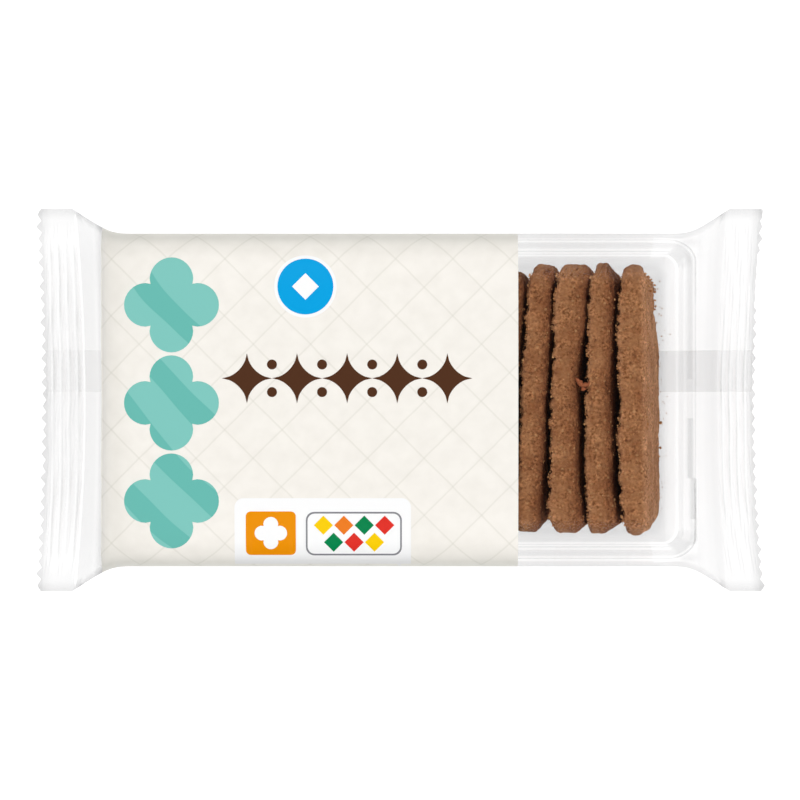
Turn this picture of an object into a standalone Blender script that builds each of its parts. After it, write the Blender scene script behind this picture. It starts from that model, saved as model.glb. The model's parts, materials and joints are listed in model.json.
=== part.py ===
"""A sealed flow pack of speculoos biscuits, lying on its back panel.

One clear film is drawn round a thermoformed tray, joined along the back by a
folded fin seal, tucked in at both sides of each end, and crimped flat there
between the top and the bottom panel. The film is shut all round, so the pack
is one solid out to the film. Metres, +X along the pack, +Z up, z = 0 below it.
"""

import math

import bmesh
import bpy

# Driving dimensions, in metres. Places along the pack count from its middle.
PACK_LENGTH = 0.178  # from cut edge to cut edge
SEAL_WIDTH = 0.093  # the flat end seal, across the pack
SEAL_LENGTH = 0.0097  # the end seal, along the pack, teeth included
TOOTH_DEPTH = 0.0013
TEETH = 32
SEAL_HEIGHT = 0.0195  # middle of the seal above the table
SEAL_THICKNESS = 0.0008
SEAL_BOW = 0.0024  # how far the tray draws the middle of the seal inwards
CUT_BOWS = {-1: 0.0014, 1: 0.0024}  # the same at the left and the right cut edge
SEAL_WAVE = 0.0006
CRIMP_PITCH = 0.0018
CRIMP_RELIEF = 0.0004
CRIMP_FADE = 0.006  # the crimp runs out this far from the seal's corners

RIM_HALF_LENGTH = 0.0722  # where the top panel turns down over the tray's end
RIM_HALF_WIDTH = 0.0401  # film over the tray's rim
RIM_HEIGHT = 0.033
CROWN_HEIGHT = 0.0425  # film over the biscuits
BASE_HALF_LENGTH = 0.064  # flat part of the back panel
BASE_HALF_WIDTH = 0.0335
BASE_CORNER = 0.003
TUCK_DEPTH = 0.007  # the side panel folds in by this much at each end
TUCK_START = 0.059
FIN_WIDTH = 0.012  # the fin seal's free edge, from the middle of the back
FIN_THICKNESS = 0.0003

FLARE_SLOPE = 0.645  # the end corners spread by this much for each metre along
FLARE_START = 0.07005
FLARE_SOFTNESS = 0.0016

COLUMNS = TEETH + 1
SEAL_END = PACK_LENGTH / 2 - TOOTH_DEPTH
SEAL_START = PACK_LENGTH / 2 - SEAL_LENGTH
CRIMP_START = SEAL_START + CRIMP_PITCH / 4
CRIMP_STEPS = 8  # half pitches, each a crest or a trough
FIN_COLUMN = COLUMNS // 2 + 4  # the column that the fin's free edge follows

BODY_STATIONS = (0.022, 0.042, 0.054, 0.060, 0.0635, 0.066, 0.068, 0.0695, 0.0708, 0.072)
SLOPE_STATIONS = (0.0734, 0.0754, 0.0774)


def share(value, start, end):
    """How far value is from start to end, held between 0 and 1."""
    return min(max((value - start) / (end - start), 0.0), 1.0)


def eased(value, start, end):
    """The same share with a soft start and a soft end."""
    part = share(value, start, end)
    return part * part * (3 - 2 * part)


def mix(first, second, part):
    return first + (second - first) * part


def top_half_width(along):
    """Half the width of the top panel, which flares out to the seal's corners."""
    flare = math.log1p(math.exp((along - FLARE_START) / FLARE_SOFTNESS))
    return min(RIM_HALF_WIDTH + FLARE_SLOPE * FLARE_SOFTNESS * flare, SEAL_WIDTH / 2)


def bottom_half_width(along):
    """Half the width of the back panel: the tray is narrower at its foot than at its rim."""
    draft = RIM_HALF_WIDTH - BASE_HALF_WIDTH
    return top_half_width(along) - draft * (1 - eased(along, 0.058, SEAL_START))


def crown_height(along):
    """Height of the top panel along its middle line."""
    turned = math.sqrt(1 - min(along / RIM_HALF_LENGTH, 1) ** 14)
    over_tray = mix(RIM_HEIGHT, CROWN_HEIGHT, turned)
    down = share(along, BODY_STATIONS[-1], SEAL_START)
    return mix(over_tray, SEAL_HEIGHT + SEAL_THICKNESS / 2, down)


def upper_fold_height(along):
    """Height of the fold between the top panel and the tucked side."""
    down = share(along, 0.062, SEAL_START) ** 1.15
    return mix(RIM_HEIGHT, SEAL_HEIGHT + SEAL_THICKNESS / 2, down)


def base_height(along):
    """Height of the back panel along its middle line, nought where it lies flat."""
    up = share(along, BASE_HALF_LENGTH, SEAL_START) ** 1.25
    return (SEAL_HEIGHT - SEAL_THICKNESS / 2) * up


def lower_fold_height(along):
    """Height of the fold between the back panel and the tucked side."""
    up = share(along, 0.058, SEAL_START) ** 1.2
    return mix(BASE_CORNER, SEAL_HEIGHT - SEAL_THICKNESS / 2, up)


def tuck_depth(along):
    """How far the side panel is folded in: nought on the body and again in the seal."""
    return TUCK_DEPTH * eased(along, TUCK_START, 0.0745) * (1 - eased(along, 0.0755, SEAL_START))


def column_place(column, along):
    """A column's place across a panel, -1 to 1: even in the seal, closer to the folds on the body."""
    even = 2 * column / (COLUMNS - 1) - 1
    crowded = mix(even, math.sin(even * math.pi / 2), 0.8)
    return mix(crowded, even, eased(along, 0.066, SEAL_START))


def seal_lift(along, place, side):
    """What the seal's slow wave and its crimp add to the height."""
    wave = SEAL_WAVE * eased(along, BODY_STATIONS[-1], SEAL_END) * math.sin(4.2 * place + side)
    if not CRIMP_START <= along < SEAL_END:
        return wave
    inside = share(SEAL_WIDTH / 2 * (1 - abs(place)), 0, CRIMP_FADE)
    turn = 2 * math.pi * (along - CRIMP_START) / CRIMP_PITCH
    return wave + CRIMP_RELIEF * inside * math.cos(turn)


def seal_bow(along, place, side):
    bow = mix(SEAL_BOW, CUT_BOWS[side], share(along, SEAL_START, SEAL_END))
    return bow * share(along, 0.0695, SEAL_START) * (1 - place * place)


def top_point(column, along, side):
    place = column_place(column, along)
    rounded = math.sqrt(1 - min(abs(place), 1) ** 6)
    height = mix(upper_fold_height(along), crown_height(along), rounded)
    x = side * (along - seal_bow(along, place, side))
    return (x, top_half_width(along) * place, height + seal_lift(along, place, side))


def bottom_point(column, along, side):
    place = column_place(column, along)
    half_width = bottom_half_width(along)
    flat = along < BASE_HALF_LENGTH
    y = half_width * place
    if flat and column == FIN_COLUMN:
        y = FIN_WIDTH
    if flat and column == FIN_COLUMN + 1:
        y = FIN_WIDTH + FIN_THICKNESS
    turned = share(abs(y), half_width - BASE_CORNER, half_width)
    rise = 1 - math.sqrt(1 - turned * turned)
    height = mix(base_height(along), lower_fold_height(along), rise)
    if flat and column == FIN_COLUMN + 1:
        height += FIN_THICKNESS
    x = side * (along - seal_bow(along, place, side))
    return (x, y, height + seal_lift(along, place, side))


def side_point(along, side, way):
    """The deepest line of the tuck, half way up the side that faces way."""
    upper, lower = upper_fold_height(along), lower_fold_height(along)
    half_width = (top_half_width(along) + bottom_half_width(along)) / 2
    y = way * (half_width - tuck_depth(along))
    return (side * along, y, (upper + lower) / 2 + seal_lift(along, way, side))


def ring(along, side):
    """One closed section of the film, from the top panel's -Y fold round by +Y and back below."""
    columns = range(COLUMNS)
    top = [top_point(column, along, side) for column in columns]
    bottom = [bottom_point(column, along, side) for column in reversed(columns)]
    return [*top, side_point(along, side, 1), *bottom, side_point(along, side, -1)]


def stations():
    """Every section along one half of the pack, from beside its middle to the teeth."""
    crimps = [CRIMP_START + step * CRIMP_PITCH / 2 for step in range(CRIMP_STEPS)]
    return [*BODY_STATIONS, *SLOPE_STATIONS, SEAL_START, *crimps, SEAL_END]


def add_teeth(bm, loop, side):
    """Closes one end with the zigzag that the knife leaves, a tooth between each two columns."""
    upper = loop[:COLUMNS]
    lower = loop[2 * COLUMNS : COLUMNS : -1]
    right, left = loop[COLUMNS], loop[-1]
    for column in range(TEETH):
        ends = upper[column].co, upper[column + 1].co, lower[column].co, lower[column + 1].co
        depth = TOOTH_DEPTH * (0.8 + 0.2 * math.sin(2.4 * column + side))
        outwards = side * depth
        tip_top = bm.verts.new((ends[0] + ends[1]) / 2)
        tip_bottom = bm.verts.new((ends[2] + ends[3]) / 2)
        tip_top.co.x += outwards
        tip_bottom.co.x += outwards
        bm.faces.new((upper[column], upper[column + 1], tip_top))
        bm.faces.new((lower[column + 1], lower[column], tip_bottom))
        first = (left,) if column == 0 else ()
        last = (right,) if column == TEETH - 1 else ()
        bm.faces.new((upper[column], tip_top, tip_bottom, lower[column], *first))
        bm.faces.new((tip_top, upper[column + 1], *last, lower[column + 1], tip_bottom))


def film_material():
    material = bpy.data.materials.new("printed_film")
    material.use_nodes = True
    surface = material.node_tree.nodes["Principled BSDF"]
    surface.inputs["Base Color"].default_value = (0.86, 0.84, 0.78, 1)
    surface.inputs["Roughness"].default_value = 0.32
    surface.inputs["Metallic"].default_value = 0.0
    return material


def make_film_pack():
    bm = bmesh.new()
    half = stations()
    sections = [ring(along, -1) for along in reversed(half)]
    sections.append(ring(0.0, 1))
    sections += [ring(along, 1) for along in half]
    loops = [[bm.verts.new(point) for point in section] for section in sections]
    for first, second in zip(loops, loops[1:]):
        for i, vert in enumerate(first):
            bm.faces.new((first[i - 1], vert, second[i], second[i - 1]))
    add_teeth(bm, loops[0], -1)
    add_teeth(bm, loops[-1], 1)
    bmesh.ops.recalc_face_normals(bm, faces=bm.faces)
    mesh = bpy.data.meshes.new("film_pack")
    bm.to_mesh(mesh)
    bm.free()
    mesh.shade_smooth()
    mesh.set_sharp_from_angle(angle=math.radians(40))
    mesh.materials.append(film_material())
    pack = bpy.data.objects.new("film_pack", mesh)
    bpy.context.scene.collection.objects.link(pack)


for old in list(bpy.data.objects):
    bpy.data.objects.remove(old)
make_film_pack()
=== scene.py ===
"""Looks of a sealed flow pack of speculoos biscuits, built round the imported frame."""

import json
import math
import random

import bmesh
import bpy
import mathutils
import numpy as np
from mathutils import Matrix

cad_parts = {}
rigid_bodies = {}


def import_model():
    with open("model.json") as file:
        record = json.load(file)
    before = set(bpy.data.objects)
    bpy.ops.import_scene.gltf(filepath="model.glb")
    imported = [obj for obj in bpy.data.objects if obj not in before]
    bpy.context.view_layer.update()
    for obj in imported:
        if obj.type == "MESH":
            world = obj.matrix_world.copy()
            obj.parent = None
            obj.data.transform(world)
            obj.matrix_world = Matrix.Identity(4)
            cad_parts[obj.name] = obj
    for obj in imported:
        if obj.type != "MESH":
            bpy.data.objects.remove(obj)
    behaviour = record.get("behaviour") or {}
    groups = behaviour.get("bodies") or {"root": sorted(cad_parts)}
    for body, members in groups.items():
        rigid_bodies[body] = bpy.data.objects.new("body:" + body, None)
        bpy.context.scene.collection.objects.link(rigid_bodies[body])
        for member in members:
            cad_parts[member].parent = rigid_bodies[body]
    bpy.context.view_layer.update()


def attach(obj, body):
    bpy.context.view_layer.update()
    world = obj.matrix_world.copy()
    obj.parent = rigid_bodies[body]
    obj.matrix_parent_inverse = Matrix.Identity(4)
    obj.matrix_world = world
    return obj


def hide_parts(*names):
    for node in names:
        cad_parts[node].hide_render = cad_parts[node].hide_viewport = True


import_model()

# Camera, floor and light. The pack lies under a camera that looks straight
# down through a long lens, on a pale floor, in even studio light.
mm = 0.001
SEEN_WIDTH = 194 * mm  # what the frame covers at the height of the seals
SEEN_HEIGHT = 24 * mm
CAMERA_HEIGHT = 1500 * mm
CAMERA_SHIFT = -0.24 * mm
SENSOR = 36
FLOOR_SIZE = 6.0
FLOOR_DROP = 0.05 * mm

scene = bpy.context.scene
camera_data = bpy.data.cameras.new("camera")
camera_data.sensor_width = SENSOR
camera_data.lens = SENSOR * (CAMERA_HEIGHT - SEEN_HEIGHT) / SEEN_WIDTH
camera_data.clip_end = 20
camera = bpy.data.objects.new("camera", camera_data)
camera.location = (CAMERA_SHIFT, 0, CAMERA_HEIGHT)
scene.collection.objects.link(camera)
scene.camera = camera
scene.view_settings.view_transform = "Standard"
scene.cycles.transparent_max_bounces = 32


def new_material(name):
    """A material and its node tree, which holds only the output."""
    material = bpy.data.materials.new(name)
    material.use_nodes = True
    tree = material.node_tree
    tree.nodes.clear()
    tree.nodes.new("ShaderNodeOutputMaterial")
    return material, tree


def add_node(tree, kind, inputs=(), **settings):
    """A node with its properties, and with a plain value or another node's output
    for each input that is given."""
    node = tree.nodes.new("ShaderNode" + kind)
    for key, value in settings.items():
        setattr(node, key, value)
    for key, value in dict(inputs).items():
        if isinstance(value, bpy.types.NodeSocket):
            tree.links.new(value, node.inputs[key])
        else:
            node.inputs[key].default_value = value
    return node


def add_surface(tree, colour, roughness, gloss, more=()):
    """An opaque surface."""
    inputs = {"Base Color": colour, "Roughness": roughness, "Specular IOR Level": gloss}
    return add_node(tree, "BsdfPrincipled", {**inputs, **dict(more)})


def show(tree, shader):
    """Puts a shader on the material's surface."""
    tree.links.new(shader.outputs[0], tree.nodes["Material Output"].inputs["Surface"])


def deselect_all():
    bpy.ops.object.select_all(action="DESELECT")


floor_paint, tree = new_material("floor_paint")
floor_glow = {"Emission Color": (1, 1, 1, 1), "Emission Strength": 0.82}
show(tree, add_surface(tree, (0.35, 0.35, 0.35, 1), 0.9, 0.1, floor_glow))
deselect_all()
bpy.ops.mesh.primitive_plane_add(size=FLOOR_SIZE, location=(0, 0, -FLOOR_DROP))
floor = bpy.context.object
floor.name = "floor"
floor.data.materials.append(floor_paint)

# Studio sky: a wide white softbox overhead with a dark hole round the camera,
# so that level film mirrors nothing bright, grey lower down, and a pale backdrop.
# How bright it is at each height, from 0 at the horizon to 1 overhead.
SKY_STOPS = ((0.1, 0.32), (0.15, 0.08), (0.68, 0.08), (0.84, 1.0), (0.925, 1.0), (0.95, 0.06))
SKY_STRENGTH = 2.95


def add_ramp(tree, factor, *stops):
    """The colour for a factor, blended between stops of a place and a colour."""
    ramp = add_node(tree, "ValToRGB", {0: factor})
    elements = ramp.color_ramp.elements
    for number, (spot, colour) in enumerate(stops):
        element = elements[number] if number < 2 else elements.new(spot)
        element.position = spot
        element.color = colour
    return ramp.outputs[0]


sky = bpy.data.worlds.new("studio_sky")
sky.use_nodes = True
tree = sky.node_tree
tree.nodes.clear()
sky_way = add_node(tree, "TexCoord").outputs["Generated"]
sky_height = add_node(tree, "SeparateXYZ", {0: sky_way}).outputs["Z"]
sky_grey = add_ramp(tree, sky_height, *[(spot, (tone,) * 3 + (1,)) for spot, tone in SKY_STOPS])
sky_light = add_node(tree, "Background", {"Color": sky_grey, "Strength": SKY_STRENGTH})
add_node(tree, "OutputWorld", {"Surface": sky_light.outputs[0]})
scene.world = sky

# Clear tray. A thin sheet of clear plastic, drawn down over a mould in one
# piece: a turned-down rim, a flange, two steps, drafted walls and a floor.
# Notches in the flange at both ends keep stacked trays from jamming together.
TRAY_HALF_LENGTH = 71.0 * mm
TRAY_HALF_WIDTH = 38.5 * mm
TRAY_CORNER = 5.4 * mm
TRAY_LIP_HEIGHT = 32.4 * mm
TRAY_SHEET = 0.25 * mm
# From the rim's edge inwards (mm): how far in each line lies and its height, then how
# grey the sheet looks there, on the long sides and at the ends: painted shade along the
# mould's bends, none on its crests, and painted shadow of the biscuits on walls and floor.
TRAY_LINES = (
    (0.08, 34.0, 0.1, 0.25), (0.2, 34.2, 0, 0.25), (0.45, 34.2, 0, 0.06),
    (0.75, 34.2, 0, 0.06), (0.9, 33.9, 0.1, 0.15), (1.1, 33.7, 0.13, 0.2),
    (1.5, 33.6, 0.15, 0.19), (1.9, 33.6, 0.12, 0.11), (2.2, 33.55, 0.1, 0.05),
    (2.35, 33.5, 0, 0.03), (2.65, 33.5, 0, 0.1), (2.8, 33.5, 0.13, 0.1),
    (3.0, 33.5, 0.13, 0.1), (3.15, 33.5, 0, 0.1), (3.4, 33.5, 0, 0.09),
    (3.5, 33.5, 0.14, 0.06), (3.65, 33.45, 0.1, 0), (3.75, 33.4, 0, 0),
    (4.0, 33.35, 0, 0.03), (4.15, 33.3, 0.06, 0.05), (4.45, 32.4, 0.14, 0.05),
    (5.2, 18.0, 0.17, 0.09), (5.9, 3.5, 0.24, 0.2), (6.3, 1.6, 0.26, 0.26),
    (7.2, 0.75, 0.22, 0.28),
)
TRAY_CORNER_GREY = 0.2  # painted shade on the flange's corners
TRAY_SHIFT = 0.2 * mm  # how far off the pack's middle the tray lies, across it
TRAY_WALL = 4.3  # from this far in (mm) the mould narrows without rounding its corners
TRAY_ROUNDER = 1.6 * mm  # what the inner steps' corners gain on the rim's own inset
TRAY_WALL_TOP = 33.0 * mm
TRAY_CORNER_REACH = 11 * mm  # how far from a corner the steps round it change
TRAY_EXTRA_CUTS = (31.4, 26.0, 22.0, -22.0, -26.0, -31.4)  # mm, lines along the flange's ends
# The steps are wider at the ends: inset places (mm) and what they become there.
END_STEPS = ((0, 0), (11, 11.7), (66.9, 66.08), (71, 71.2))
# Notches in the end flanges: from and to, across the pack, how far they stand out
# along it (all in mm), and how much painted shade greys them (lighter below nought).
TRAY_NOTCHES = (
    (4.8, 38.0, 0.0, 0.0),
    (-4.6, 4.8, 0.15, -0.08),
    (-18.9, -4.6, 0.0, 0.08),
    (-28.9, -19.2, 0.6, 0.05),
    (-38.0, -28.9, 0.9, -0.1),
)


def add_modifier(piece, kind, **settings):
    """Adds a modifier with its settings and applies it."""
    modifier = piece.modifiers.new(kind.lower(), kind)
    for key, value in settings.items():
        setattr(modifier, key, value)
    bpy.context.view_layer.objects.active = piece
    bpy.ops.object.modifier_apply(modifier=modifier.name)


def point_array(mesh):
    """The mesh's points as rows of x, y and z."""
    points = np.empty(len(mesh.vertices) * 3)
    mesh.vertices.foreach_get("co", points)
    return points.reshape(-1, 3)


def paint_points(mesh, **values):
    """Keeps values for each point, which a finish can read by their name."""
    for name, each in values.items():
        mesh.attributes.new(name, "FLOAT", "POINT").data.foreach_set("value", each)


def read_points(tree, name):
    return add_node(tree, "Attribute", attribute_name=name).outputs["Fac"]


def edit_all():
    """Opens the active piece for editing, with all of it selected."""
    bpy.ops.object.mode_set(mode="EDIT")
    bpy.ops.mesh.select_all(action="SELECT")


def end_edit():
    bpy.ops.object.mode_set(mode="OBJECT")


def mix(first, second, part):
    return first + (second - first) * part


def add_mix(tree, part, first, second, blend_type="MIX"):
    """One colour laid over another, as far as part says."""
    inputs = {0: part, 6: first, 7: second}
    node = add_node(tree, "Mix", inputs, data_type="RGBA", blend_type=blend_type)
    return node.outputs[2]


def add_math(tree, operation, *values, **settings):
    inputs = dict(enumerate(values))
    return add_node(tree, "Math", inputs, operation=operation, **settings).outputs[0]


def clear_plastic(name, tint, edge_tint, edge_share, roughness, mirror_share):
    """See-through plastic: a tint that deepens where the sheet turns edge on and
    where its points are grey with their own tint and painted shade, white haze where
    they are hazy, and a mirror that strengthens at a slant."""
    material, tree = new_material(name)
    facing = add_node(tree, "LayerWeight", {"Blend": 0.5}).outputs["Facing"]
    grey = read_points(tree, "grey")
    deep = add_math(tree, "MULTIPLY_ADD", facing, edge_share, grey, use_clamp=True)
    tints = add_mix(tree, deep, (*tint, 1), (*edge_tint, 1))
    through = add_node(tree, "BsdfTransparent", {"Color": tints})
    white = add_surface(tree, (0.9, 0.9, 0.91, 1), 0.5, 0.5)
    hazy_inputs = {0: read_points(tree, "haze"), 1: through.outputs[0], 2: white.outputs[0]}
    hazy = add_node(tree, "MixShader", hazy_inputs)
    slant = add_math(tree, "POWER", facing, 5.0)
    mirrored = add_math(tree, "MULTIPLY_ADD", slant, mirror_share, 0.04 * mirror_share)
    capped = add_math(tree, "MINIMUM", mirrored, 0.12)
    mirror_inputs = {"Color": (1, 1, 1, 1), "Roughness": roughness}
    mirror = add_node(tree, "BsdfAnisotropic", mirror_inputs)
    both_inputs = {0: capped, 1: hazy.outputs[0], 2: mirror.outputs[0]}
    show(tree, add_node(tree, "MixShader", both_inputs))
    return material


deselect_all()
bpy.ops.mesh.primitive_plane_add(size=1, location=(0, 0, TRAY_LIP_HEIGHT))
tray = bpy.context.object
tray.name = "clear_tray"
tray.scale = (2 * TRAY_HALF_LENGTH, 2 * TRAY_HALF_WIDTH, 1)
bpy.ops.object.transform_apply()
edit_all()
bpy.ops.mesh.bevel(offset=TRAY_CORNER, segments=10, affect="VERTICES")
line_in, line_height = 0.0, TRAY_LIP_HEIGHT / mm
for distance, height, *_ in TRAY_LINES:
    step, drop = (distance - line_in) * mm, (height - line_height) * mm
    if distance < TRAY_WALL:
        bpy.ops.mesh.inset(thickness=step, depth=drop)
    else:
        bpy.ops.mesh.extrude_region_move(TRANSFORM_OT_translate={"value": (0, 0, drop)})
        shrink_x = 1 - step / (TRAY_HALF_LENGTH - line_in * mm)
        shrink_y = 1 - step / (TRAY_HALF_WIDTH - line_in * mm)
        bpy.ops.transform.resize(value=(shrink_x, shrink_y, 1), center_override=(0, 0, 0))
    line_in, line_height = distance, height
cuts = [start + 0.15 for start, *_ in TRAY_NOTCHES]
cuts += [end - 0.15 for _, end, *_ in TRAY_NOTCHES]
for cut in (*cuts, *TRAY_EXTRA_CUTS):
    bpy.ops.mesh.select_all(action="SELECT")
    bpy.ops.mesh.bisect(plane_co=(0, cut * mm, 0), plane_no=(0, 1, 0))
end_edit()
points = point_array(tray.data)
straight = np.array([TRAY_HALF_LENGTH, TRAY_HALF_WIDTH]) - TRAY_CORNER
past = np.abs(points[:, :2]) - straight
beyond = np.maximum(past, 0)
inset = (TRAY_CORNER - np.hypot(*beyond.T) - np.minimum(past.max(axis=1), 0)) / mm
on_wall = (points[:, 2] < TRAY_WALL_TOP) & (inset > 1)
wall_lines = [line[:2] for line in TRAY_LINES if line[1] * mm < TRAY_WALL_TOP]
wall_places, wall_heights = np.array(wall_lines[::-1]).T
inset[on_wall] = np.interp(points[on_wall, 2] / mm, wall_heights, wall_places)
inwards = np.where(on_wall, inset - TRAY_WALL, 0) * mm
beyond = np.maximum(past + inwards[:, None], 0)
rounder = np.interp(inset, (1.9, 3.4), (0, TRAY_ROUNDER))[:, None]
way_out = beyond / np.maximum(np.hypot(*beyond.T), 1e-9)[:, None]
beside_corner = np.clip(1 + (past + inwards[:, None]) / TRAY_CORNER_REACH, 0, 1)
points[:, :2] -= np.sign(points[:, :2]) * rounder * (1 - way_out) * beside_corner
end_share = beyond[:, 0] ** 2 / np.maximum((beyond**2).sum(axis=1), 1e-12)
line_places = [0.0, *[line[0] for line in TRAY_LINES]]
side_grey, end_grey = (
    np.interp(inset, line_places, [0.2, *[line[column] for line in TRAY_LINES]])
    for column in (2, 3)
)
on_flange = (inset > 0.5) & (inset < 2.3) & (end_share > 0.9)
across = points[:, 1] / mm
for start, end, shift, darker in TRAY_NOTCHES:
    notched = on_flange & (across > start) & (across < end)
    points[notched, 0] += np.sign(points[notched, 0]) * shift * mm
    end_grey[notched] += darker * (inset[notched] < 1.8)
on_steps = (inset > 1) & (inset < 3.6)
# More painted shade on the ends: less at the rim's edge across their middle, more on the steps near
# the long sides.
end_grey *= np.where(inset < 0.3, np.interp(np.abs(across), (22, 26), (0.5, 1)), 1)
end_grey += 0.08 * (np.abs(across) > 32) * on_steps
end_share = np.where(inset < 0.6, np.clip(3 * end_share, 0, 1), end_share)
grey = mix(side_grey, end_grey, end_share)
in_corner = np.clip(8 * end_share * (1 - end_share), 0, 1) * on_steps
grey = np.maximum(grey, TRAY_CORNER_GREY * in_corner)
end_from, end_to = np.array(END_STEPS).T * mm
points[:, 0] = np.sign(points[:, 0]) * np.interp(np.abs(points[:, 0]), end_from, end_to)
points[:, 1] += TRAY_SHIFT
tray.data.vertices.foreach_set("co", points.ravel())
paint_points(tray.data, grey=np.clip(grey, 0, 1), haze=np.full(len(points), 0.005))
add_modifier(tray, "SOLIDIFY", thickness=TRAY_SHEET, offset=-1)
bpy.ops.object.shade_smooth_by_angle(angle=math.radians(60))
tray_plastic = clear_plastic("clear_tray", (0.995,) * 3, (0.5, 0.505, 0.51), 0.03, 0.1, 0.02)
tray.data.materials.append(tray_plastic)
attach(tray, "root")

# Biscuits. Fifteen flat speculoos biscuits, baked from spiced dough that is
# pressed into moulds, stand on edge in the tray and lean on one another.
BISCUIT_LENGTH = 64.4 * mm
BISCUIT_WIDTH = 40.2 * mm
BISCUIT_THICKNESS = 7.0 * mm
BISCUIT_CORNER = 5.0 * mm
BISCUIT_FOOT = 1.1 * mm
BAKED_IN = 0.15 * mm  # what the lumps put back on each face
EDGE_ROUNDING = 0.8 * mm
LEAN = math.radians(7.2)
HIDDEN_PITCH = 8.4 * mm
HIDDEN_BISCUITS = 10
FIRST_MIDDLE = 24.6  # where the first biscuit that shows stands (mm)
VOXEL = 0.36 * mm
HIDDEN_VOXEL = 0.9 * mm
CHIP_STEP = 0.8 * mm  # the left edges are chipped in steps of this length
CHIP_DEPTH = 1.3 * mm
WORN_SHOULDER = 1.5 * mm  # how far the right edge has rounded down
WORN_END = 1.5 * mm  # how far each end has rounded off towards both faces
END_CALM = 4 * mm  # the chips fade this near an end
LOWER_END = 7 * mm  # the lower end stands more upright from here
END_ROUNDING = 8 * mm
# Uneven faces, coarse to fine: each pattern's size and height.
LUMPS = (("slow_swell", 14, 0.8), ("lumps", 3.2, 0.45), ("crumb", 1.0, 0.5))  # mm
dice = random.Random(4)
# The last biscuit has lost a corner: how far it reaches, at places across (mm).
BROKEN_CORNERS = {
    "biscuit_5": (
        (-33, 60.5), (-29.4, 62.4), (-24.5, 63.0), (-9.8, 63.4), (6.9, 63.2), (15.9, 62.7),
        (18.8, 62.3), (21, 61.5), (23.1, 61.9), (24.8, 61.6), (28.4, 61.2), (29.6, 60.8),
        (30.9, 58.9), (32, 57.8), (33.2, 57.2),
    )
}
# Each biscuit that shows: along the pack, where its two faces meet its upper
# edge, at places across the pack (mm).
BISCUIT_EDGES = {
    "biscuit_1": ((-33, 19.8, 26.0), (0, 20.9, 27.6), (20, 21.9, 29.2), (30.9, 22.4, 29.5)),
    "biscuit_2": (
        (-31.5, 27.2, 33.2), (-23.4, 27.6, 33.5), (-13.7, 28.0, 34.4), (0, 28.7, 34.6),
        (9.8, 29.2, 35.3), (16.3, 29.7, 35.9), (25.9, 30.2, 36.0), (32.3, 31.2, 37.2),
    ),
    "biscuit_3": (
        (-31.7, 36.5, 42.6), (-29.7, 35.7, 44.0), (-26.4, 35.3, 43.4), (-20, 35.6, 42.5),
        (-0.2, 35.9, 42.5), (8.1, 36.5, 42.6), (13.2, 36.7, 43.2), (18.9, 36.3, 44.0),
        (27.5, 37.3, 44.6), (31, 37.7, 45.9), (32.5, 38.0, 45.6),
    ),
    "biscuit_4": (
        (-31.9, 45.2, 49.6), (-29.7, 44.5, 52.4), (-20, 44.2, 50.6), (3.6, 44.2, 50.4),
        (9.8, 44.6, 50.5), (16.3, 44.8, 50.7), (25.9, 45.1, 51.2), (29, 45.5, 51.2),
        (32.8, 46.5, 50.0),
    ),
    "biscuit_5": (
        (-32.2, 54.2, 58.4), (-31.1, 53.2, 59.3), (-27.8, 52.6, 59.4), (-20, 52.3, 59.4),
        (-6, 52.1, 59.2), (16.3, 51.8, 59.0), (27.5, 52.2, 58.6), (30.5, 52.5, 58.6),
        (32.2, 53.0, 58.2),
    ),
}


def share(value, start, end):
    """How far value is from start to end, held between 0 and 1."""
    return np.clip((value - start) / (end - start), 0, 1)


def displace_by(piece, name, size, height):
    """Moves the surface by a smooth random pattern, which lies in space and not on the piece."""
    texture = bpy.data.textures.new(name, "CLOUDS")
    texture.noise_scale = size
    texture.noise_depth = 1
    add_modifier(piece, "DISPLACE", texture=texture, texture_coords="GLOBAL", strength=height)


def object_place(tree):
    return add_node(tree, "TexCoord").outputs["Object"]


def add_noise(tree, scale, detail, roughness=0.5):
    """The outputs of a random pattern: its value and its colour."""
    inputs = {"Scale": scale, "Detail": detail, "Roughness": roughness}
    return add_node(tree, "TexNoise", {"Vector": object_place(tree), **inputs}).outputs


def add_range(tree, value, *ends):
    """Carries a value from one range to another: from and to of both."""
    inputs = dict(zip(("From Min", "From Max", "To Min", "To Max"), ends), Value=value)
    return add_node(tree, "MapRange", inputs).outputs[0]


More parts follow.
